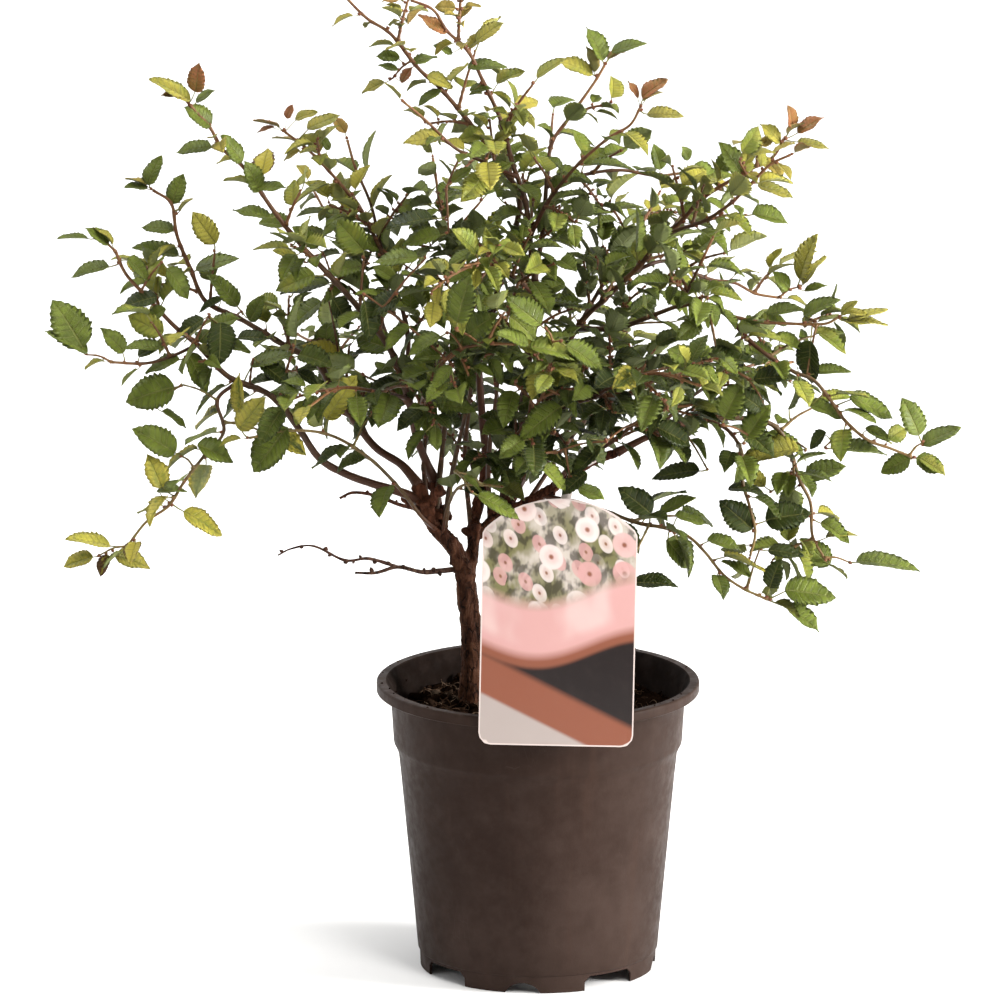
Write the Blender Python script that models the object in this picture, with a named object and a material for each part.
"""A young dwarf cherry in full leaf, growing in a round plastic nursery pot.

The pot stands on four feet and is filled with soil. The trunk forks low down into limbs, and the
limbs carry leafy shoots: a stem with alternate leaves on thin stalks and short side spurs. A plant
card hangs on the front of the rim by a strap that loops round a limb.

Sizes are in millimetres here and are turned into metres when a mesh is made.
X runs to the right, Y to the back and Z up. The origin is under the middle of the pot.
"""

import bisect
import math
import random
from collections import namedtuple

import bmesh
import bpy
from mathutils import Vector
from mathutils.bvhtree import BVHTree

MM = 0.001
UP = Vector((0, 0, 1))
CLEAR = 0.35

POT_RIM_R = 95.0
POT_HEIGHT = 172.5
POT_WALL = 1.5
POT_SIDES = 32
COLLAR_TOP_R = 86.8
COLLAR_LOW_R = 84.7
COLLAR_LOW_Z = 135.4
WALL_TOP_R = 81.8
WALL_TOP_Z = 129.5
WALL_LOW_R = 70.7
SEAM_Z = 11.0
SKIRT_R = 69.3
LIP_Z = 166.0
LIP_HEIGHT = POT_HEIGHT - LIP_Z
FLOOR_Z = 8.8
CENTRE_PAD_R = 9.0
FOOT_TURN = math.radians(-7.5)
FOOT_GAP = 34.0
NOTCH_WIDTH = 21.0
NOTCH_HEIGHT = 6.3
DRAIN_R = 4.5
DRAIN_AT_R = 54.0

SOIL_TOP_Z = 155.0
SOIL_LUMP = 1.6
SOIL_SIDES = 32
STEM_HOLE_R = 7.9
STEM_HOLE_LOW_Z = 96.6
STEM_PLACE = (-39.0, 15.0)

CARD_WIDTH = 90.0
CARD_HEIGHT = 145.0
CARD_THICK = 0.8
CARD_ARCH_R = 61.0
CARD_CORNER_R = 7.0
CARD_FOOT = (10.0, -97.4, 157.5)
CARD_LEAN = math.radians(6.0)
CARD_TWIST = math.radians(1.2)
STRAP_WIDTH = 6.0
STRAP_THICK = 0.8
STRAP_EYE_R = 4.9
STRAP_RISE = 9.0
STRAP_ON = "limb_right_front"
STRAP_SHARE = 0.36

BLADE_THICK = 1.2
STALK_R = 0.62
NODE_HALF = 1.0
LEAF_LONG = 29.0
LEAF_WIDE = 0.66
GOLDEN_TURN = math.radians(137.5)

# Outline of half a blade, as share of its length and of its width: tooth, notch, tooth, notch.
BLADE_EDGE = ((0.17, 0.42), (0.34, 0.41), (0.50, 0.50), (0.72, 0.27))
BLADE_RIB_AT = 0.42

# The bare wood. Each limb starts on the limb it is listed under, near its first point, and goes
# through its points. The last two numbers are its radius at its start and at its end.
WOOD = {
    "trunk": (
        None,
        [(-39, 15, 97), (-39, 15, 158), (-39, 15, 193), (-42, 13, 220), (-43, 12, 237)],
        7.2,
        5.6,
    ),
    "fork_left": (
        "trunk",
        [(-43, 12, 234), (-50, 8, 251), (-60, 4, 263), (-67, 2, 276), (-70, 0, 290)],
        4.8,
        4.2,
    ),
    "fork_inner": (
        "fork_left",
        [(-56, 6, 258), (-58, 10, 270), (-60, 13, 280), (-61, 14, 290)],
        3.4,
        3.0,
    ),
    "fork_right": (
        "trunk",
        [(-42, 13, 228), (-38, 16, 249), (-38, 20, 259), (-35, 25, 272), (-32, 27, 286),
         (-30, 28, 299)],
        4.2,
        2.9,
    ),
    "rise_middle": (
        "fork_right",
        [(-38, 18, 254), (-24, 22, 266), (-14, 22, 280), (-12, 21, 298)],
        3.4,
        2.9,
    ),
    "limb_right": (
        "rise_middle",
        [(-24, 22, 266), (-10, 14, 274), (6, 6, 285), (29, -8, 305), (46, -14, 313)],
        3.3,
        2.6,
    ),
    "dead_low": (
        "trunk",
        [(-43, 12, 235), (-55, 2, 238), (-68, -10, 240), (-82, -18, 245), (-95, -24, 243),
         (-107, -28, 244)],
        1.9,
        0.8,
    ),
    "dead_thin": (
        "dead_low",
        [(-82, -18, 245), (-99, -30, 253), (-113, -34, 253), (-131, -36, 262), (-144, -38, 261),
         (-152, -38, 257)],
        1.1,
        0.5,
    ),
    "dead_short": (
        "fork_left",
        [(-66, 2, 274), (-80, -13, 281), (-95, -22, 289), (-108, -27, 292), (-116, -29, 289)],
        1.5,
        0.8,
    ),
    "stub_low": ("fork_left", [(-66, 2, 274), (-75, 8, 276), (-80, 12, 280)], 2.4, 1.6),
    "stub_knot": ("fork_left", [(-67, 2, 277), (-61, -6, 284), (-57, -10, 291)], 2.6, 1.2),
    "stub_back": ("fork_inner", [(-60, 13, 282), (-66, 22, 288), (-68, 27, 296)], 2.2, 1.2),
}

# The leafy shoots: what each grows from, its points, its radius at the start and at the end, the
# share of it that is bare, how many side spurs it has, and how far its leaves hang (0 to 1).
SHOOTS = {
    "limb_left_low": (
        "fork_left",
        [(-68, 1, 280), (-80, -6, 287), (-97, -9, 293), (-113, -13, 300), (-128, -20, 311),
         (-140, -24, 330), (-156, -26, 350), (-181, -24, 361), (-197, -22, 378), (-212, -20, 390),
         (-228, -22, 408), (-240, -24, 422), (-246, -26, 436)],
        3.2, 1.1, 0.42, 2, 0.35,
    ),
    "limb_left_high": (
        "fork_left",
        [(-70, 0, 290), (-80, 5, 301), (-96, 10, 311), (-110, 14, 329), (-121, 18, 344),
         (-130, 22, 360), (-145, 26, 366), (-174, 33, 382), (-195, 37, 392), (-204, 40, 411),
         (-212, 42, 431), (-215, 44, 449), (-226, 46, 457)],
        3.0, 1.0, 0.2, 3, 0.3,
    ),
    "shoot_far_left": (
        "limb_left_low", [(-200, -22, 380), (-212, -34, 376), (-228, -42, 373), (-248, -48, 375)],
        1.3, 0.9, 0.25, 1, 0.3,
    ),
    "trail_left": (
        "limb_left_low",
        [(-176, -25, 360), (-187, -38, 350), (-183, -50, 334), (-195, -60, 321), (-205, -65, 309),
         (-215, -68, 294), (-228, -71, 285), (-239, -73, 271)],
        1.4, 0.9, 0.12, 1, 0.75,
    ),
    "twig_green_left": (
        "fork_left",
        [(-59, 4, 262), (-68, -22, 276), (-82, -36, 298), (-100, -44, 318), (-122, -53, 333),
         (-146, -60, 337), (-168, -66, 334)],
        1.5, 0.9, 0.35, 0, 0.6,
    ),
    "rise_left": (
        "fork_inner",
        [(-61, 14, 290), (-71, 5, 317), (-76, -4, 343), (-87, -10, 375), (-110, -14, 406),
         (-138, -18, 438), (-154, -20, 459), (-172, -22, 486), (-184, -24, 497), (-191, -25, 510),
         (-203, -27, 524)],
        2.9, 1.0, 0.15, 3, 0.3,
    ),
    "shoot_left_mid": (
        "rise_left",
        [(-78, -5, 350), (-76, 12, 375), (-82, 25, 398), (-90, 30, 419), (-101, 30, 443),
         (-113, 29, 461), (-133, 26, 484), (-148, 22, 497)],
        1.8, 0.9, 0.15, 2, 0.3,
    ),
    "shoot_left_back": (
        "shoot_left_mid", [(-92, 31, 423), (-98, 46, 448), (-107, 54, 468), (-112, 60, 484)],
        1.3, 0.9, 0.1, 1, 0.3,
    ),
    "peak_left": (
        "fork_right",
        [(-30, 28, 299), (-33, 30, 328), (-34, 35, 363), (-24, 36, 399), (-14, 36, 433),
         (-11, 36, 455), (-20, 37, 471), (-34, 38, 491), (-56, 39, 518), (-70, 40, 531),
         (-86, 42, 551), (-100, 44, 560), (-113, 46, 573), (-120, 47, 583)],
        2.8, 0.9, 0.18, 3, 0.35,
    ),
    "peak_middle": (
        "rise_middle",
        [(-12, 21, 298), (-9, 15, 332), (-5, 12, 369), (-2, 10, 406), (-5, 8, 437), (-8, 6, 461),
         (-15, 4, 482), (-22, -1, 509), (-33, -7, 535), (-41, -10, 552), (-53, -12, 564),
         (-61, -14, 577), (-74, -15, 583)],
        2.8, 0.9, 0.18, 3, 0.35,
    ),
    "shoot_middle_left": (
        "peak_middle",
        [(-12, 5, 474), (-24, -10, 482), (-36, -20, 490), (-49, -26, 498), (-65, -32, 515),
         (-78, -36, 527)],
        1.4, 0.9, 0.2, 1, 0.35,
    ),
    "peak_right": (
        "peak_middle",
        [(-3, 10, 412), (3, 20, 440), (5, 28, 466), (8, 36, 487), (18, 41, 501), (32, 46, 520),
         (39, 49, 531)],
        1.9, 0.9, 0.15, 2, 0.35,
    ),
    "shoot_right_front": (
        "peak_middle",
        [(-5, 8, 437), (6, -7, 462), (22, -18, 485), (40, -26, 503), (53, -30, 512), (59, -33, 523)],
        1.6, 0.9, 0.2, 1, 0.3,
    ),
    "shoot_right_level": (
        "peak_right",
        [(4, 28, 463), (28, 43, 467), (49, 50, 468), (69, 53, 464), (85, 55, 465), (95, 56, 462)],
        1.4, 0.9, 0.2, 1, 0.3,
    ),
    "rise_right": (
        "rise_middle",
        [(-14, 22, 280), (-3, 34, 297), (2, 33, 318), (8, 29, 350), (25, 28, 381), (40, 25, 397),
         (61, 20, 419), (72, 16, 435), (83, 12, 445), (97, 8, 461), (121, 4, 477), (136, 0, 486),
         (143, -3, 498)],
        2.8, 1.0, 0.2, 3, 0.3,
    ),
    "shoot_right_tip": (
        "rise_right",
        [(74, 15, 437), (84, -4, 445), (97, -15, 452), (110, -25, 463), (121, -32, 475),
         (134, -38, 490), (146, -42, 497)],
        1.6, 0.9, 0.25, 1, 0.3,
    ),
    "limb_right_high": (
        "rise_right",
        [(22, 28, 376), (34, 8, 382), (48, -10, 387), (63, -20, 395), (82, -28, 404), (97, -32, 406),
         (108, -34, 401), (125, -37, 397), (146, -39, 396), (166, -40, 396), (174, -41, 400)],
        2.1, 0.9, 0.15, 2, 0.3,
    ),
    "shoot_right_inner": (
        "limb_right_high", [(82, -28, 404), (88, -37, 418), (94, -42, 432), (101, -45, 448)],
        1.3, 0.9, 0.15, 1, 0.3,
    ),
    "shoot_right_back": (
        "rise_right",
        [(57, 21, 415), (74, 34, 417), (90, 44, 408), (103, 50, 402), (116, 55, 399),
         (128, 58, 392), (142, 60, 389)],
        1.5, 0.9, 0.25, 1, 0.3,
    ),
    "limb_right_middle": (
        "rise_middle",
        [(-13, 21, 291), (1, -4, 319), (13, -20, 340), (33, -34, 351), (56, -42, 356), (72, -48, 367),
         (100, -55, 368), (113, -58, 372), (122, -60, 368)],
        2.0, 0.9, 0.25, 2, 0.4,
    ),
    "limb_right_front": (
        "limb_right",
        [(8, 5, 287), (20, -16, 306), (40, -34, 322), (56, -44, 337), (70, -53, 348), (88, -60, 352)],
        1.9, 0.9, 0.5, 1, 0.5,
    ),
    "trail_far_right": (
        "limb_right_high",
        [(110, -34, 401), (125, -50, 386), (147, -56, 372), (160, -60, 367), (170, -62, 355),
         (178, -64, 344), (191, -66, 333), (204, -66, 328), (217, -67, 323)],
        1.6, 0.9, 0.12, 1, 0.55,
    ),
    "limb_right_low": (
        "limb_right",
        [(46, -14, 313), (70, -14, 325), (95, -8, 331), (118, -3, 331), (136, 0, 327), (145, 2, 317),
         (150, 3, 303), (154, 3, 291), (160, 3, 278), (161, 2, 259), (168, 0, 246)],
        2.5, 0.9, 0.1, 2, 0.65,
    ),
    "trail_right_inner": (
        "limb_right_low",
        [(98, -8, 331), (111, -17, 327), (119, -22, 315), (119, -24, 300), (124, -26, 282),
         (127, -27, 268), (124, -28, 254)],
        1.5, 0.9, 0.15, 1, 0.75,
    ),
    "trail_right_low": (
        "limb_right",
        [(2, 9, 282), (22, -12, 283), (40, -24, 280), (58, -32, 275), (75, -37, 273), (88, -42, 269),
         (98, -46, 260), (108, -49, 248), (120, -51, 240), (134, -53, 234)],
        1.6, 0.9, 0.3, 1, 0.7,
    ),
    "twig_front_low": (
        "fork_left",
        [(-56, 6, 258), (-53, -14, 280), (-46, -38, 298), (-34, -53, 303), (-22, -62, 304)],
        1.3, 0.9, 0.35, 0, 0.6,
    ),
    "twig_front_left": (
        "rise_left",
        [(-72, 4, 318), (-68, -24, 345), (-62, -48, 364), (-50, -68, 385), (-34, -80, 393),
         (-14, -88, 395)],
        1.7, 0.9, 0.25, 2, 0.5,
    ),
    "twig_front_middle": (
        "rise_middle",
        [(-14, 22, 282), (-20, -6, 302), (-14, -34, 325), (-4, -54, 346), (4, -69, 364), (7, -84, 388)],
        1.8, 0.9, 0.25, 2, 0.5,
    ),
    "bush_front_far_left": (
        "rise_left", [(-76, -4, 345), (-94, -42, 356), (-116, -76, 366), (-132, -104, 362)],
        1.6, 0.9, 0.2, 1, 0.5,
    ),
    "bush_front_right": (
        "limb_right_middle", [(33, -34, 351), (48, -68, 368), (70, -98, 380), (92, -120, 378)],
        1.5, 0.9, 0.2, 1, 0.5,
    ),
    "bush_front_high": (
        "peak_middle", [(-2, 10, 402), (-14, -24, 420), (-30, -56, 436), (-42, -82, 440)],
        1.5, 0.9, 0.15, 1, 0.4,
    ),
    "bush_back_far_left": (
        "limb_left_high", [(-100, 11, 315), (-112, 50, 335), (-128, 92, 350), (-142, 124, 352)],
        1.7, 0.9, 0.2, 2, 0.45,
    ),
    "bush_back_left_high": (
        "rise_left", [(-84, -9, 368), (-98, 36, 396), (-118, 74, 424), (-134, 100, 448)],
        1.6, 0.9, 0.2, 1, 0.35,
    ),
    "bush_back_low": (
        "fork_right", [(-34, 26, 276), (-42, 58, 302), (-52, 96, 326), (-58, 130, 336)],
        1.8, 0.9, 0.2, 2, 0.5,
    ),
    "bush_back_high": (
        "peak_left", [(-34, 35, 366), (-44, 68, 396), (-56, 94, 430), (-62, 112, 462)],
        1.7, 0.9, 0.15, 2, 0.35,
    ),
    "bush_back_right_low": (
        "limb_right", [(-6, 12, 276), (18, 52, 304), (44, 88, 326), (66, 122, 338)],
        1.8, 0.9, 0.2, 2, 0.5,
    ),
    "bush_back_right_high": (
        "rise_right", [(22, 28, 377), (38, 62, 396), (56, 94, 416), (72, 116, 440)],
        1.6, 0.9, 0.15, 1, 0.35,
    ),
    "bush_back_far_right": (
        "limb_right_low", [(66, -14, 323), (90, 22, 338), (124, 58, 348), (150, 86, 344)],
        1.5, 0.9, 0.2, 1, 0.45,
    ),
}
END_SEAT = 2.5
LEAF_STEP = 34.0
LEAFLESS_END = 5.0
ROOT_SHARE = 0.6
NODE_APART = 2.6
TIP_LEAF = 0.66
SPUR_LEAF = 0.95
SPUR_LONG = (20.0, 34.0)
SPUR_R = (1.1, 0.8)
SPUR_NODES = (8.0, 18.0)
SPUR_LAST = 0.86

Leaf = namedtuple("Leaf", "root base along side face length width fold curl")
Node = namedtuple("Node", "place turn side child")


class Path:
    """A smooth curve through chosen points, read by the distance along it."""

    STEPS = 8

    def __init__(self, points):
        points = [Vector(p) for p in points]
        ends = [2 * points[0] - points[1]] + points + [2 * points[-1] - points[-2]]
        self.points = [points[0]]
        for i in range(len(points) - 1):
            for step in range(1, self.STEPS + 1):
                self.points.append(curve_point(ends[i:i + 4], step / self.STEPS))
        self.marks = [0.0]
        for a, b in zip(self.points, self.points[1:]):
            self.marks.append(self.marks[-1] + (b - a).length)
        self.length = self.marks[-1]
        self.sides = [self.heading(0).orthogonal().normalized()]
        for mark in self.marks[1:]:
            heading = self.heading(mark)
            side = self.sides[-1] - heading * self.sides[-1].dot(heading)
            self.sides.append(side.normalized())

    def at(self, place):
        place = min(max(place, 0.0), self.length)
        i = min(max(bisect.bisect_right(self.marks, place), 1), len(self.marks) - 1)
        share = (place - self.marks[i - 1]) / (self.marks[i] - self.marks[i - 1])
        return self.points[i - 1].lerp(self.points[i], share)

    def heading(self, place):
        low, high = max(place - 1.5, 0.0), min(place + 1.5, self.length)
        return (self.at(high) - self.at(low)).normalized()

    def frame(self, place):
        """The point, the heading there and two directions across it, at right angles."""
        i = min(bisect.bisect_right(self.marks, place), len(self.marks)) - 1
        heading = self.heading(place)
        first = (self.sides[i] - heading * self.sides[i].dot(heading)).normalized()
        return self.at(place), heading, first, heading.cross(first)

    def nearest(self, point):
        gaps = [(p - point).length for p in self.points]
        return self.marks[gaps.index(min(gaps))]


class Stem:
    """A tapering stem on a path, with nodes that carry leaves and spurs."""

    def __init__(self, points, start_r, end_r, sides):
        self.path = Path(points)
        self.start_r = start_r
        self.end_r = end_r
        self.sides = sides
        self.nodes = []
        self.tip = None
        self.seat = None

    def radius(self, place):
        share = min(max(place / self.path.length, 0.0), 1.0)
        return self.start_r + (self.end_r - self.start_r) * share

    def across(self, place, turn):
        _, _, first, second = self.path.frame(place)
        return first * math.cos(turn) + second * math.sin(turn)

    def ring(self, place, turn, extra=0.0):
        centre, _, first, second = self.path.frame(place)
        radius = self.radius(place) + extra
        points = []
        for i in range(self.sides):
            angle = turn + (i - 0.5) * 2 * math.pi / self.sides
            points.append(centre + (first * math.cos(angle) + second * math.sin(angle)) * radius)
        return points


class Skin:
    """The points and triangles of one closed body."""

    def __init__(self):
        self.points = []
        self.faces = []

    def loop(self, points):
        start = len(self.points)
        self.points.extend(points)
        return list(range(start, len(self.points)))

    def bridge(self, low, high):
        """Triangles between two loops that turn the same way, starting from their nearest points."""
        a, b = len(low), len(high)
        best = None
        for shift in range(b):
            total = 0.0
            for i in range(max(a, b)):
                p = self.points[low[i * a // max(a, b)]]
                q = self.points[high[(i * b // max(a, b) + shift) % b]]
                total += (p - q).length
            if best is None or total < best[0]:
                best = (total, shift)
        high = high[best[1]:] + high[:best[1]]
        i = j = 0
        while i < a or j < b:
            p, q = low[i % a], high[j % b]
            if j == b or (i < a and (i + 0.5) * b <= (j + 0.5) * a):
                self.faces.append((p, low[(i + 1) % a], q))
                i += 1
            else:
                self.faces.append((p, high[(j + 1) % b], q))
                j += 1

    def cap(self, loop, outward_last):
        for i in range(1, len(loop) - 1):
            face = (loop[0], loop[i], loop[i + 1])
            self.faces.append(face if outward_last else face[::-1])


def curve_point(four, t):
    """A point of a Catmull-Rom curve between the second and third of four points."""
    a, b, c, d = four
    return 0.5 * (
        2 * b + (c - a) * t + (2 * a - 5 * b + 4 * c - d) * t * t
        + (3 * b - a - 3 * c + d) * t * t * t
    )


def blade_points(leaf, grow=1.0, thick=BLADE_THICK):
    """The foot, the two edges, the tip and the rib points of a blade that is folded and arched."""

    def place(along, across, lift=0.0):
        along *= grow
        across *= grow
        rise = abs(across) * leaf.width * math.sin(leaf.fold) - leaf.curl * leaf.length * along * along
        return (
            leaf.base
            + leaf.along * leaf.length * along
            + leaf.side * leaf.width * across * math.cos(leaf.fold)
            + leaf.face * (rise + lift)
        )

    foot = [
        leaf.base + leaf.side * STALK_R,
        leaf.base - leaf.side * STALK_R,
        leaf.base - leaf.face * STALK_R * 1.6,
    ]
    left = [place(t, w) for t, w in BLADE_EDGE]
    right = [place(t + 0.03, -w) for t, w in BLADE_EDGE]
    tip = place(1.0, 0.0)
    ribs = [place(BLADE_RIB_AT, 0.0, thick / 2), place(BLADE_RIB_AT, 0.0, -thick / 2)]
    return foot, left, right, tip, ribs


def add_blade(skin, leaf, foot, grow=1.0, thick=BLADE_THICK):
    """The blade closes the loop of its foot. Both faces are split into the same triangles."""
    _, left, right, tip, ribs = blade_points(leaf, grow, thick)
    left = skin.loop(left)
    right = skin.loop(right)
    tip, top, low = skin.loop([tip] + ribs)
    foot_left, foot_right, foot_low = foot
    left_edge = [foot_left] + left + [tip]
    right_edge = [foot_right] + right + [tip]
    for near, far in zip(left_edge, left_edge[1:]):
        skin.faces.append((top, far, near))
        skin.faces.append((low, near, far))
    for near, far in zip(right_edge, right_edge[1:]):
        skin.faces.append((top, near, far))
        skin.faces.append((low, far, near))
    skin.faces.append((top, foot_left, foot_right))
    skin.faces.append((low, foot_low, foot_left))
    skin.faces.append((low, foot_right, foot_low))


def leaf_probe(leaf):
    """A slightly larger closed copy of a leaf, without the first of its stalk, to test its room."""
    skin = Skin()
    start = leaf.root.lerp(leaf.base, 0.3)
    foot = blade_points(leaf)[0]
    shift = start - leaf.base
    low = skin.loop([p + shift for p in foot])
    high = skin.loop(foot)
    skin.cap(low, False)
    skin.bridge(low, high)
    add_blade(skin, leaf, high, 1.07, BLADE_THICK + 1.2)
    return skin


def tube_probe(stem, start, end, extra):
    """A closed tube round a stem, from one place on it to another."""
    skin = Skin()
    count = max(2, int((end - start) / 6.0) + 1)
    last = None
    for i in range(count):
        place = start + (end - start) * i / (count - 1)
        loop = skin.loop(stem.ring(place, 0.0, extra))
        if last is None:
            skin.cap(loop, False)
        else:
            skin.bridge(last, loop)
        last = loop
    skin.cap(last, True)
    return skin


class Room:
    """What already stands there: each thing with its box and its faces, to test new ones against."""

    def __init__(self):
        self.things = []

    def add(self, skin):
        self.things.append((*self.box(skin), self.tree(skin)))

    @staticmethod
    def box(skin):
        low = Vector([min(p[i] for p in skin.points) for i in range(3)])
        high = Vector([max(p[i] for p in skin.points) for i in range(3)])
        return low, high

    @staticmethod
    def tree(skin):
        return BVHTree.FromPolygons(skin.points, skin.faces)

    def free(self, skin):
        low, high = self.box(skin)
        tree = self.tree(skin)
        for other_low, other_high, other_tree in self.things:
            if any(low[i] > other_high[i] or high[i] < other_low[i] for i in range(3)):
                continue
            if tree.overlap(other_tree):
                return False
        return True


def grown_leaf(root, heading, across, hang, size, rng):
    """A leaf on a thin stalk: the blade turns its face up and outward and droops by hang."""
    outward = Vector((root.x - STEM_PLACE[0], root.y - STEM_PLACE[1], 0)).normalized()
    stalk = (heading * rng.uniform(0.3, 0.7) + across * 0.9 + UP * 0.25).normalized()
    base = root + stalk * rng.uniform(5.0, 8.0) * size
    wander = Vector((rng.uniform(-1, 1), rng.uniform(-1, 1), rng.uniform(-1, 1)))
    droop = hang * rng.uniform(0.5, 1.5)
    along = (stalk * 0.8 + outward * 0.35 - UP * droop + wander * 0.3).normalized()
    face = UP * (1.0 - 0.45 * hang) + outward * 0.55 + wander.yzx * 0.45
    side = face.cross(along).normalized()
    length = LEAF_LONG * size * rng.uniform(0.8, 1.12)
    width = length * LEAF_WIDE * rng.uniform(0.9, 1.08)
    fold = math.radians(rng.uniform(14, 30))
    curl = rng.uniform(0.08, 0.3)
    return Leaf(root, base, along, side, along.cross(side), length, width, fold, curl)


def place_leaf(room, root, heading, across, hang, size, name, tries=9):
    """The first of several seeded tries that is clear of all that stands there already."""
    for attempt in range(tries):
        leaf = grown_leaf(root, heading, across, hang, size, random.Random(f"{name} {attempt}"))
        probe = leaf_probe(leaf)
        if room.free(probe):
            room.add(probe)
            return leaf
    return None


def tip_size(share):
    """Leaves are full size on most of a shoot and small near its tip."""
    return 1.0 - 0.42 * max(0.0, (share - 0.75) / 0.25)


def leaf_a_stem(stem, room, name, start, step, hang, size):
    """A leaf at every node of a stem, each turned on from the one before."""
    taken = [node.place for node in stem.nodes]
    for k in range(int((stem.path.length - LEAFLESS_END - start) / step) + 1):
        place = start + step * k
        if any(abs(place - other) < NODE_APART for other in taken):
            continue
        turn = 2 * k * GOLDEN_TURN + 0.7
        across = stem.across(place, turn)
        root = stem.path.at(place) + across * stem.radius(place) * ROOT_SHARE
        fresh = size * tip_size(place / stem.path.length)
        leaf = place_leaf(room, root, stem.path.heading(place), across, hang, fresh, f"{name} {k}")
        if leaf:
            stem.nodes.append(Node(place, turn, 0, leaf))
    stem.nodes.sort(key=lambda node: node.place)


def tip_a_stem(stem, room, name, hang, size):
    end = stem.path.at(stem.path.length)
    heading = stem.path.heading(stem.path.length)
    stem.tip = place_leaf(room, end, heading, heading, hang * 0.5, size, f"{name} tip", 14)


def grown_spur(stem, place, turn, rng):
    across = stem.across(place, turn)
    aim = across * 0.9 + stem.path.heading(place) * 0.5 + UP * rng.uniform(0.0, 0.5)
    reach = aim.normalized() * rng.uniform(*SPUR_LONG)
    root = stem.path.at(place) + across * stem.radius(place) * ROOT_SHARE
    return Stem([root, root + reach * 0.5 + UP * 1.5, root + reach], *SPUR_R, 3)


def grow_spurs(stem, room, name, bare, count):
    """Short side spurs, spread along the leafy part of a shoot."""
    spurs = []
    for k in range(count):
        place = stem.path.length * (bare + (SPUR_LAST - bare) * (k + 0.2) / count)
        for attempt in range(10):
            rng = random.Random(f"{name} spur {k} {attempt}")
            turn = 2 * k * GOLDEN_TURN + 2.1 + rng.uniform(-1.5, 1.5) * (attempt > 0)
            spur = grown_spur(stem, place, turn, rng)
            if room.free(tube_probe(spur, 3.5, spur.path.length, 1.5)):
                room.add(tube_probe(spur, 3.5, spur.path.length - 0.5, CLEAR))
                stem.nodes.append(Node(place, turn, 0, spur))
                spurs.append(spur)
                break
    stem.nodes.sort(key=lambda node: node.place)
    return spurs


def stem_sides(radius):
    return 3 if radius < 1.65 else 4 if radius < 2.4 else 5


def seat_on(parent, point):
    """The nearest place on the parent to a point. Close to the parent's end, it is the end."""
    place = parent.path.nearest(Vector(point))
    if parent.path.length - place < END_SEAT:
        place = parent.path.length
    return place


def seat_stem(stem, parent, place):
    """A stem sits off the side of its parent, or on its end: the plane that its first ring keeps to."""
    line = parent.path.heading(place)
    if place == parent.path.length:
        stem.seat = (parent.path.at(place), line, CLEAR)
        return
    aim = stem.path.heading(parent.radius(place) + 3)
    off = (aim - line * aim.dot(line)).normalized()
    stem.seat = (parent.path.at(place), off, parent.radius(place) + CLEAR)


def plan_wood():
    limbs = {}
    for name, (parent, points, start_r, end_r) in WOOD.items():
        points = [Vector(p) for p in points]
        if parent:
            points[0] = limbs[parent].path.at(seat_on(limbs[parent], points[0]))
        limbs[name] = Stem(points, start_r, end_r, 8 if start_r > 4 else 6 if start_r > 2 else 4)
    return limbs


def plan_stems(limbs, room):
    stems = dict(limbs)
    for name, (parent, points, start_r, end_r, *_) in SHOOTS.items():
        place = seat_on(stems[parent], points[0])
        start = stems[parent].path.at(place)
        stem = Stem([start] + points[1:], start_r, end_r, stem_sides(start_r))
        seat_stem(stem, stems[parent], place)
        stems[name] = stem
        room.add(tube_probe(stem, seat_ring(stem)[1] + 1.0, stem.path.length - 0.5, CLEAR))
    return {name: stems[name] for name in SHOOTS}


def plan_leaves(shoots, room):
    """First the side spurs, then the leaf at each tip, then the rest, each clear of what is there."""
    spurs = {}
    for name, (*_, bare, count, hang) in SHOOTS.items():
        spurs[name] = grow_spurs(shoots[name], room, name, bare, count)
    for name, (*_, hang) in SHOOTS.items():
        tip_a_stem(shoots[name], room, name, hang, TIP_LEAF)
        for k, spur in enumerate(spurs[name]):
            tip_a_stem(spur, room, f"{name} {k}", hang, SPUR_LEAF)
    for name, (*_, bare, _, hang) in SHOOTS.items():
        stem = shoots[name]
        start = stem.path.length * bare + 6
        leaf_a_stem(stem, room, name, start, LEAF_STEP, hang, 1.0)
        for k, spur in enumerate(spurs[name]):
            leaf_a_stem(spur, room, f"{name} {k}", *SPUR_NODES, hang, SPUR_LEAF)


def add_leaf(skin, leaf, loop):
    foot = skin.loop(blade_points(leaf)[0])
    skin.bridge(loop, foot)
    add_blade(skin, leaf, foot)


def seat_ring(stem):
    """The first ring of a shoot, cut parallel to the limb that carries it, a small gap off it."""
    start, off, height = stem.seat
    reach = 0.0
    while (stem.path.at(reach) - start).dot(off) < height and reach < stem.path.length / 2:
        reach += 0.2
    heading = stem.path.heading(reach)
    points = []
    for p in stem.ring(reach, 0.0):
        points.append(p + heading * ((height - (p - start).dot(off)) / heading.dot(off)))
    return points, reach


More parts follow.
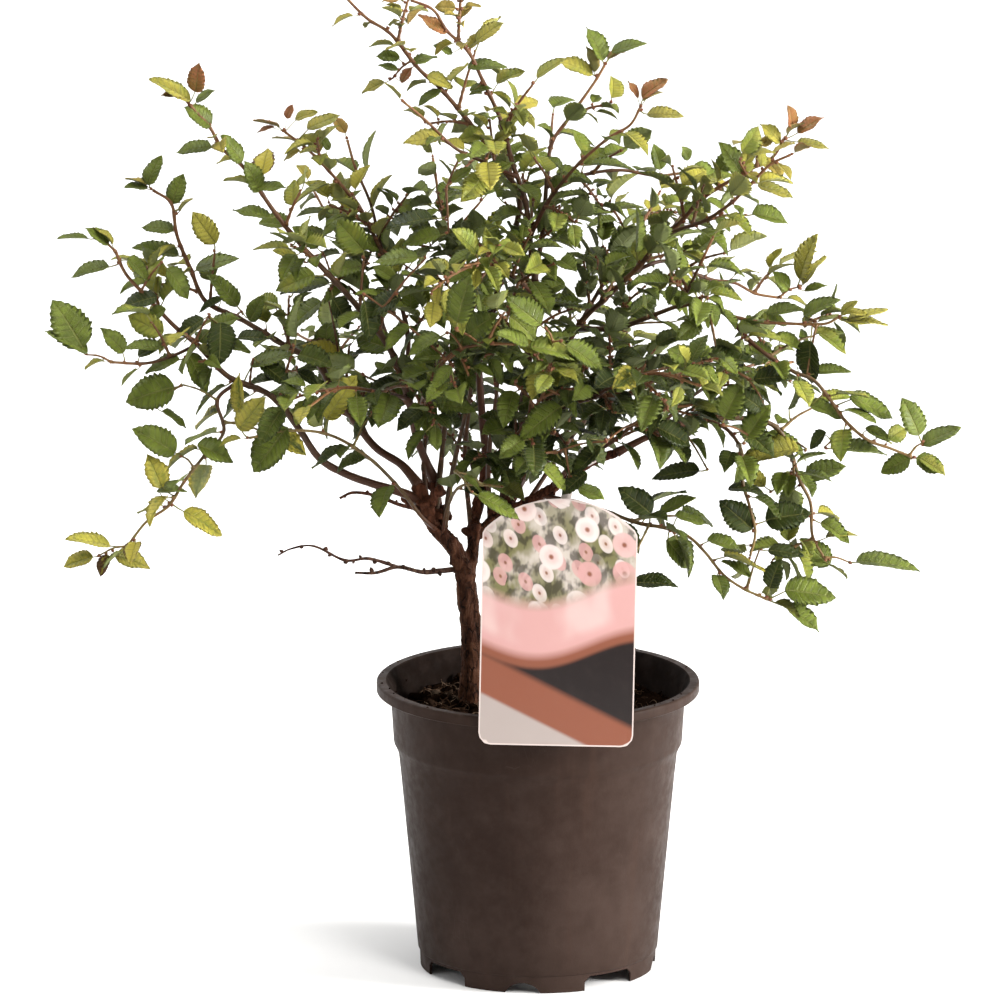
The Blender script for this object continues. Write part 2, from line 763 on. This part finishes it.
def add_stem(skin, stem, loop, start):
    """The stem from a loop at its start to its tip. A node leaves one side open for each child."""
    last_place = start
    for node in stem.nodes:
        if node.place - NODE_HALF < start + 1.0:
            continue
        gap = node.place - last_place
        for k in range(1, int(gap / 24.0) + 1):
            ring = skin.loop(stem.ring(last_place + gap * k / (int(gap / 24.0) + 1), node.turn))
            skin.bridge(loop, ring)
            loop = ring
        low = skin.loop(stem.ring(node.place - NODE_HALF, node.turn))
        high = skin.loop(stem.ring(node.place + NODE_HALF, node.turn))
        skin.bridge(loop, low)
        for i in range(stem.sides):
            j = (i + 1) % stem.sides
            side = [low[i], low[j], high[j], high[i]]
            if i != node.side:
                skin.faces.append((side[0], side[1], side[2]))
                skin.faces.append((side[0], side[2], side[3]))
            elif isinstance(node.child, Leaf):
                add_leaf(skin, node.child, side)
            else:
                add_stem(skin, node.child, side, 0.0)
        loop = high
        last_place = node.place + NODE_HALF
    ring = skin.loop(stem.ring(stem.path.length, 0.0))
    skin.bridge(loop, ring)
    if stem.tip:
        add_leaf(skin, stem.tip, ring)
    else:
        skin.cap(ring, True)


def shoot_skin(stem):
    skin = Skin()
    points, start = seat_ring(stem)
    loop = skin.loop(points)
    skin.cap(loop, False)
    add_stem(skin, stem, loop, start)
    return skin


def make_material(name, colour, roughness):
    material = bpy.data.materials.new(name)
    material.use_nodes = True
    shader = material.node_tree.nodes["Principled BSDF"]
    shader.inputs["Base Color"].default_value = (*colour, 1.0)
    shader.inputs["Roughness"].default_value = roughness
    shader.inputs["Metallic"].default_value = 0.0
    material.diffuse_color = (*colour, 1.0)
    return material


def make_object(name, points, faces, material=None):
    mesh = bpy.data.meshes.new(name)
    mesh.from_pydata([Vector(p) * MM for p in points], [], faces)
    mesh.update()
    piece = bpy.data.objects.new(name, mesh)
    bpy.context.scene.collection.objects.link(piece)
    if material:
        mesh.materials.append(material)
    return piece


def turned(profile, sides, lift=None):
    """Points and faces of a solid of revolution, whose profile starts and ends on the axis."""
    points = []
    rows = []
    for r, z in profile:
        if r == 0:
            points.append((0, 0, z))
            rows.append([len(points) - 1] * sides)
            continue
        row = []
        for i in range(sides):
            angle = 2 * math.pi * i / sides
            x, y = r * math.cos(angle), r * math.sin(angle)
            points.append((x, y, z + (lift(x, y, z) if lift else 0.0)))
            row.append(len(points) - 1)
        rows.append(row)
    faces = []
    for low, high in zip(rows, rows[1:]):
        for i in range(sides):
            j = (i + 1) % sides
            face = []
            for corner in (low[i], low[j], high[j], high[i]):
                if corner not in face:
                    face.append(corner)
            if len(face) > 2:
                faces.append(face)
    return points, faces


def join_all(base, others, operation):
    """One Boolean with all the others, applied, and the others removed."""
    group = bpy.data.collections.new(base.name + "_tools")
    bpy.context.scene.collection.children.link(group)
    for other in others:
        other.hide_render = True
        other.display_type = "WIRE"
        bpy.context.scene.collection.objects.unlink(other)
        group.objects.link(other)
    modifier = base.modifiers.new("join", "BOOLEAN")
    modifier.operation = operation
    modifier.operand_type = "COLLECTION"
    modifier.collection = group
    modifier.solver = "EXACT"
    mesh = bpy.data.meshes.new_from_object(base.evaluated_get(bpy.context.evaluated_depsgraph_get()))
    base.modifiers.remove(modifier)
    base.data = mesh
    for other in others:
        bpy.data.objects.remove(other)
    bpy.data.collections.remove(group)


def pot_profile():
    """The pot's wall in section, from the middle of the underside, out, up, over the lip and in."""
    inner_low = WALL_LOW_R - POT_WALL
    return [
        (0, 0), (CENTRE_PAD_R, 0), (CENTRE_PAD_R, FLOOR_Z),
        (SKIRT_R - POT_WALL, FLOOR_Z), (SKIRT_R - POT_WALL, 0), (SKIRT_R, 0),
        (SKIRT_R + 0.5, SEAM_Z - 0.6), (WALL_LOW_R, SEAM_Z),
        (WALL_TOP_R, WALL_TOP_Z), (COLLAR_LOW_R, COLLAR_LOW_Z), (COLLAR_TOP_R, LIP_Z),
        (POT_RIM_R, LIP_Z), (POT_RIM_R, POT_HEIGHT - 0.9), (POT_RIM_R - 0.9, POT_HEIGHT),
        (POT_RIM_R - LIP_HEIGHT, POT_HEIGHT), (COLLAR_TOP_R - POT_WALL, LIP_Z - 1.5),
        (COLLAR_LOW_R - POT_WALL, COLLAR_LOW_Z + 0.4), (WALL_TOP_R - POT_WALL, WALL_TOP_Z + 0.4),
        (inner_low, FLOOR_Z + POT_WALL), (0, FLOOR_Z + POT_WALL),
    ]


def round_cutter(name, centre, axis, radius, length, sides):
    axis = Vector(axis).normalized()
    first = axis.orthogonal().normalized()
    second = axis.cross(first)
    points = []
    for end in (-0.5, 0.5):
        for i in range(sides):
            angle = 2 * math.pi * (i + 0.5) / sides
            across = first * math.cos(angle) + second * math.sin(angle)
            points.append(Vector(centre) + axis * length * end + across * radius)
    faces = [list(range(sides))[::-1], list(range(sides, 2 * sides))]
    for i in range(sides):
        j = (i + 1) % sides
        faces.append([i, j, sides + j, sides + i])
    return make_object(name, points, faces)


def gap_cutter(name, angle):
    """A block with its top corners cut off, which opens the skirt between two feet."""
    out = Vector((math.sin(angle), -math.cos(angle), 0))
    across = Vector((math.cos(angle), math.sin(angle), 0))
    half = FOOT_GAP / 2
    slope_z = FLOOR_Z - 3.3
    section = [(-half, -2), (half, -2), (half, slope_z), (half - 3, FLOOR_Z), (3 - half, FLOOR_Z)]
    section.append((-half, slope_z))
    points = []
    for reach in (SKIRT_R - 12, SKIRT_R + 6):
        points.extend(out * reach + across * x + UP * z for x, z in section)
    count = len(section)
    faces = [list(range(count)), list(range(count, 2 * count))[::-1]]
    for i in range(count):
        j = (i + 1) % count
        faces.append([j, i, count + i, count + j])
    cutter = make_object(name, points, faces)
    face_out(cutter)
    return cutter


def face_out(piece):
    shape = bmesh.new()
    shape.from_mesh(piece.data)
    bmesh.ops.recalc_face_normals(shape, faces=shape.faces)
    shape.to_mesh(piece.data)
    shape.free()


def make_pot(material):
    points, faces = turned(pot_profile(), POT_SIDES)
    pot = make_object("pot", points, faces, material)
    face_out(pot)
    cutters = []
    notch_r = (NOTCH_WIDTH ** 2 / 4 + NOTCH_HEIGHT ** 2) / (2 * NOTCH_HEIGHT)
    for k in range(4):
        foot = FOOT_TURN + k * math.pi / 2
        gap = foot + math.pi / 4
        out = Vector((math.sin(foot), -math.cos(foot), 0))
        cutters.append(gap_cutter(f"gap_{k}", gap))
        centre = out * SKIRT_R + UP * (NOTCH_HEIGHT - notch_r)
        cutters.append(round_cutter(f"notch_{k}", centre, out, notch_r, 16, 14))
        drain = (DRAIN_AT_R * math.sin(gap), -DRAIN_AT_R * math.cos(gap), FLOOR_Z + 1)
        cutters.append(round_cutter(f"drain_{k}", drain, UP, DRAIN_R, 6, 8))
    join_all(pot, cutters, "DIFFERENCE")
    return pot


def soil_lumps(x, y, z):
    """Lumps on the soil's top, and none below it."""
    if z < SOIL_TOP_Z - 3:
        return 0.0
    waves = math.sin(x * 0.19 + 1.3) * math.cos(y * 0.23) + 0.7 * math.sin(x * 0.41 - y * 0.37 + 2.0)
    return SOIL_LUMP * waves


def make_soil(material):
    """Fills the pot a small gap off its walls, with a plain hole where the trunk stands."""
    inner = POT_WALL + CLEAR
    slope = (WALL_TOP_R - WALL_LOW_R) / (WALL_TOP_Z - SEAM_Z)
    low_z = FLOOR_Z + POT_WALL + CLEAR
    top_r = COLLAR_LOW_R - inner + 1.0
    profile = [
        (0, low_z), (WALL_LOW_R - inner, low_z),
        (WALL_LOW_R - inner + slope * (WALL_TOP_Z - SEAM_Z - 1), WALL_TOP_Z),
        (COLLAR_LOW_R - inner - 0.3, COLLAR_LOW_Z + 0.8), (top_r, SOIL_TOP_Z - 5),
        (top_r * 0.93, SOIL_TOP_Z - 2.5),
    ]
    profile += [(top_r * share, SOIL_TOP_Z) for share in (0.72, 0.45, 0.2)] + [(0, SOIL_TOP_Z)]
    points, faces = turned(profile, SOIL_SIDES, soil_lumps)
    soil = make_object("soil", points, faces, material)
    face_out(soil)
    depth = SOIL_TOP_Z + 12 - STEM_HOLE_LOW_Z
    centre = (*STEM_PLACE, STEM_HOLE_LOW_Z + depth / 2)
    join_all(soil, [round_cutter("stem_hole", centre, UP, STEM_HOLE_R, depth, 16)], "DIFFERENCE")
    return soil


def limb_object(name, stem, material):
    """One closed tube along a limb, with a rounded end, to be joined to the rest of the wood."""
    skin = Skin()
    step = 12.0 if stem.start_r > 2 else 16.0
    count = max(3, round(stem.path.length / step) + 1)
    last = None
    for i in range(count):
        loop = skin.loop(stem.ring(stem.path.length * i / (count - 1), 0.3))
        if last is None:
            skin.cap(loop, False)
        else:
            skin.bridge(last, loop)
        last = loop
    skin.cap(last, True)
    return make_object(name, skin.points, skin.faces, material)


def make_trunk(limbs, material):
    tubes = [limb_object(name, stem, material) for name, stem in limbs.items()]
    join_all(tubes[0], tubes[1:], "UNION")
    return tubes[0]


def arc(centre, radius, start, end, count):
    points = []
    for i in range(count + 1):
        angle = math.radians(start + (end - start) * i / count)
        points.append((centre[0] + radius * math.cos(angle), centre[1] + radius * math.sin(angle)))
    return points


def card_outline():
    """The card seen from the front, about the middle of its foot: round corners and an arched top."""
    half = CARD_WIDTH / 2
    corner = CARD_CORNER_R
    arch_z = CARD_HEIGHT - CARD_ARCH_R
    reach = math.degrees(math.acos(half / CARD_ARCH_R))
    outline = arc((half - corner, corner), corner, -90, 0, 3)
    outline += arc((0, arch_z), CARD_ARCH_R, reach, 180 - reach, 12)
    outline += arc((corner - half, corner), corner, 180, 270, 3)
    return outline


def card_frame():
    """The card's own right, up and outward directions: it leans back and a little to one side."""
    right = Vector((math.cos(CARD_TWIST), 0, -math.sin(CARD_TWIST)))
    back = Vector((0, math.sin(CARD_LEAN), math.cos(CARD_LEAN)))
    up = (back - right * back.dot(right)).normalized()
    return right, up, up.cross(right).normalized()


def slab(name, outline, origin, right, up, out, thick, material):
    points = []
    for depth in (-thick / 2, thick / 2):
        points.extend(Vector(origin) + right * x + up * z + out * depth for x, z in outline)
    count = len(outline)
    faces = [list(range(count)), list(range(count, 2 * count))[::-1]]
    for i in range(count):
        j = (i + 1) % count
        faces.append([i, j, count + j, count + i])
    piece = make_object(name, points, faces, material)
    face_out(piece)
    return piece


def strap_route(limb):
    """From inside the card's top to the limb that the strap loops round, and that limb's line."""
    right, up, _ = card_frame()
    start = Vector(CARD_FOOT) + up * (CARD_HEIGHT - 4) + right * 2
    place = limb.path.length * STRAP_SHARE
    return start, limb.path.at(place), limb.path.heading(place)


def strap_strip(start, end, line, material):
    """A flat strip that turns from the card's plane to the line of the limb as it goes back."""
    path = Path([start, start.lerp(end, 0.5) + UP * STRAP_RISE, end])
    count = 9
    rows = []
    for i in range(count):
        share = i / (count - 1)
        heading = path.heading(path.length * share)
        across = card_frame()[0] * (1 - share) + line * share
        across = (across - heading * across.dot(heading)).normalized()
        thick = heading.cross(across).normalized() * STRAP_THICK / 2
        at = path.at(path.length * share)
        half = across * STRAP_WIDTH / 2
        rows.append([at - half - thick, at + half - thick, at + half + thick, at - half + thick])
    points = [p for row in rows for p in row]
    last = 4 * (count - 1)
    faces = [[3, 2, 1, 0], [last, last + 1, last + 2, last + 3]]
    for i in range(count - 1):
        for k in range(4):
            m = (k + 1) % 4
            faces.append([4 * i + k, 4 * i + m, 4 * i + 4 + m, 4 * i + 4 + k])
    strip = make_object("strap_strip", points, faces, material)
    face_out(strip)
    return strip


def strap_eye(centre, line, off, material):
    """The flat ring that goes round the limb, with room to spare."""
    sides = 14
    second = line.cross(off)
    half = STRAP_WIDTH / 2 - 0.5
    section = ((0, -half), (STRAP_THICK, -half), (STRAP_THICK, half), (0, half))
    points = []
    faces = []
    for i in range(sides):
        angle = 2 * math.pi * i / sides
        across = off * math.cos(angle) + second * math.sin(angle)
        points.extend(centre + across * (STRAP_EYE_R + out) + line * along for out, along in section)
        n = (i + 1) % sides
        for k in range(4):
            m = (k + 1) % 4
            faces.append([4 * i + k, 4 * i + m, 4 * n + m, 4 * n + k])
    eye = make_object("strap_eye", points, faces, material)
    face_out(eye)
    return eye


def make_card(limb, material):
    right, up, out = card_frame()
    card = slab("plant_card", card_outline(), CARD_FOOT, right, up, out, CARD_THICK, material)
    start, centre, line = strap_route(limb)
    aim = centre - start
    off = (aim - line * aim.dot(line)).normalized()
    end = centre - off * (STRAP_EYE_R + STRAP_THICK / 2)
    strip = strap_strip(start, end, line, material)
    join_all(card, [strip, strap_eye(centre, line, off, material)], "UNION")
    return card


def fixed_things(room, limbs):
    """The pot, the card with its strap and the bare wood, which leaves and spurs keep clear of."""
    pot = Skin()
    low = pot.loop(Vector((SKIRT_R * math.cos(a), SKIRT_R * math.sin(a), 0)) for a in even_turns(24))
    high = pot.loop(Vector((99 * math.cos(a), 99 * math.sin(a), 174)) for a in even_turns(24))
    pot.cap(low, False)
    pot.bridge(low, high)
    pot.cap(high, True)
    room.add(pot)
    for stem in limbs.values():
        room.add(tube_probe(stem, 0.0, stem.path.length, 0.5))


def card_things(room, limb):
    """A fat box round the card and a fat tube round its strap."""
    right, up, out = card_frame()
    card = Skin()
    half = CARD_WIDTH / 2 + 1
    corners = [(-half, 0), (half, 0), (half, CARD_HEIGHT + 1), (-half, CARD_HEIGHT + 1)]
    origin = Vector(CARD_FOOT)
    back = card.loop(origin + right * x + up * z - out * 2 for x, z in corners)
    front = card.loop(origin + right * x + up * z + out * 2 for x, z in corners)
    card.cap(back, False)
    card.bridge(back, front)
    card.cap(front, True)
    room.add(card)
    start, centre, _ = strap_route(limb)
    strap = Stem([start, start.lerp(centre, 0.5) + UP * STRAP_RISE, centre], 4.0, 7.5, 6)
    room.add(tube_probe(strap, 0.0, strap.path.length - 3, 0.0))


def even_turns(count):
    return [2 * math.pi * i / count for i in range(count)]


def main():
    for piece in list(bpy.data.objects):
        bpy.data.objects.remove(piece)
    plastic = make_material("taupe_plastic", (0.062, 0.052, 0.048), 0.55)
    earth = make_material("potting_soil", (0.022, 0.015, 0.011), 0.95)
    bark = make_material("cherry_bark", (0.075, 0.038, 0.024), 0.75)
    leafy = make_material("cherry_leaf", (0.075, 0.15, 0.035), 0.5)
    card = make_material("card_plastic", (0.72, 0.55, 0.52), 0.35)
    limbs = plan_wood()
    room = Room()
    fixed_things(room, limbs)
    shoots = plan_stems(limbs, room)
    card_things(room, shoots[STRAP_ON])
    plan_leaves(shoots, room)
    make_pot(plastic)
    make_soil(earth)
    make_trunk(limbs, bark)
    make_card(shoots[STRAP_ON], card)
    for name, stem in shoots.items():
        skin = shoot_skin(stem)
        make_object(name, skin.points, skin.faces, leafy)


if __name__ == "__main__":
    main()
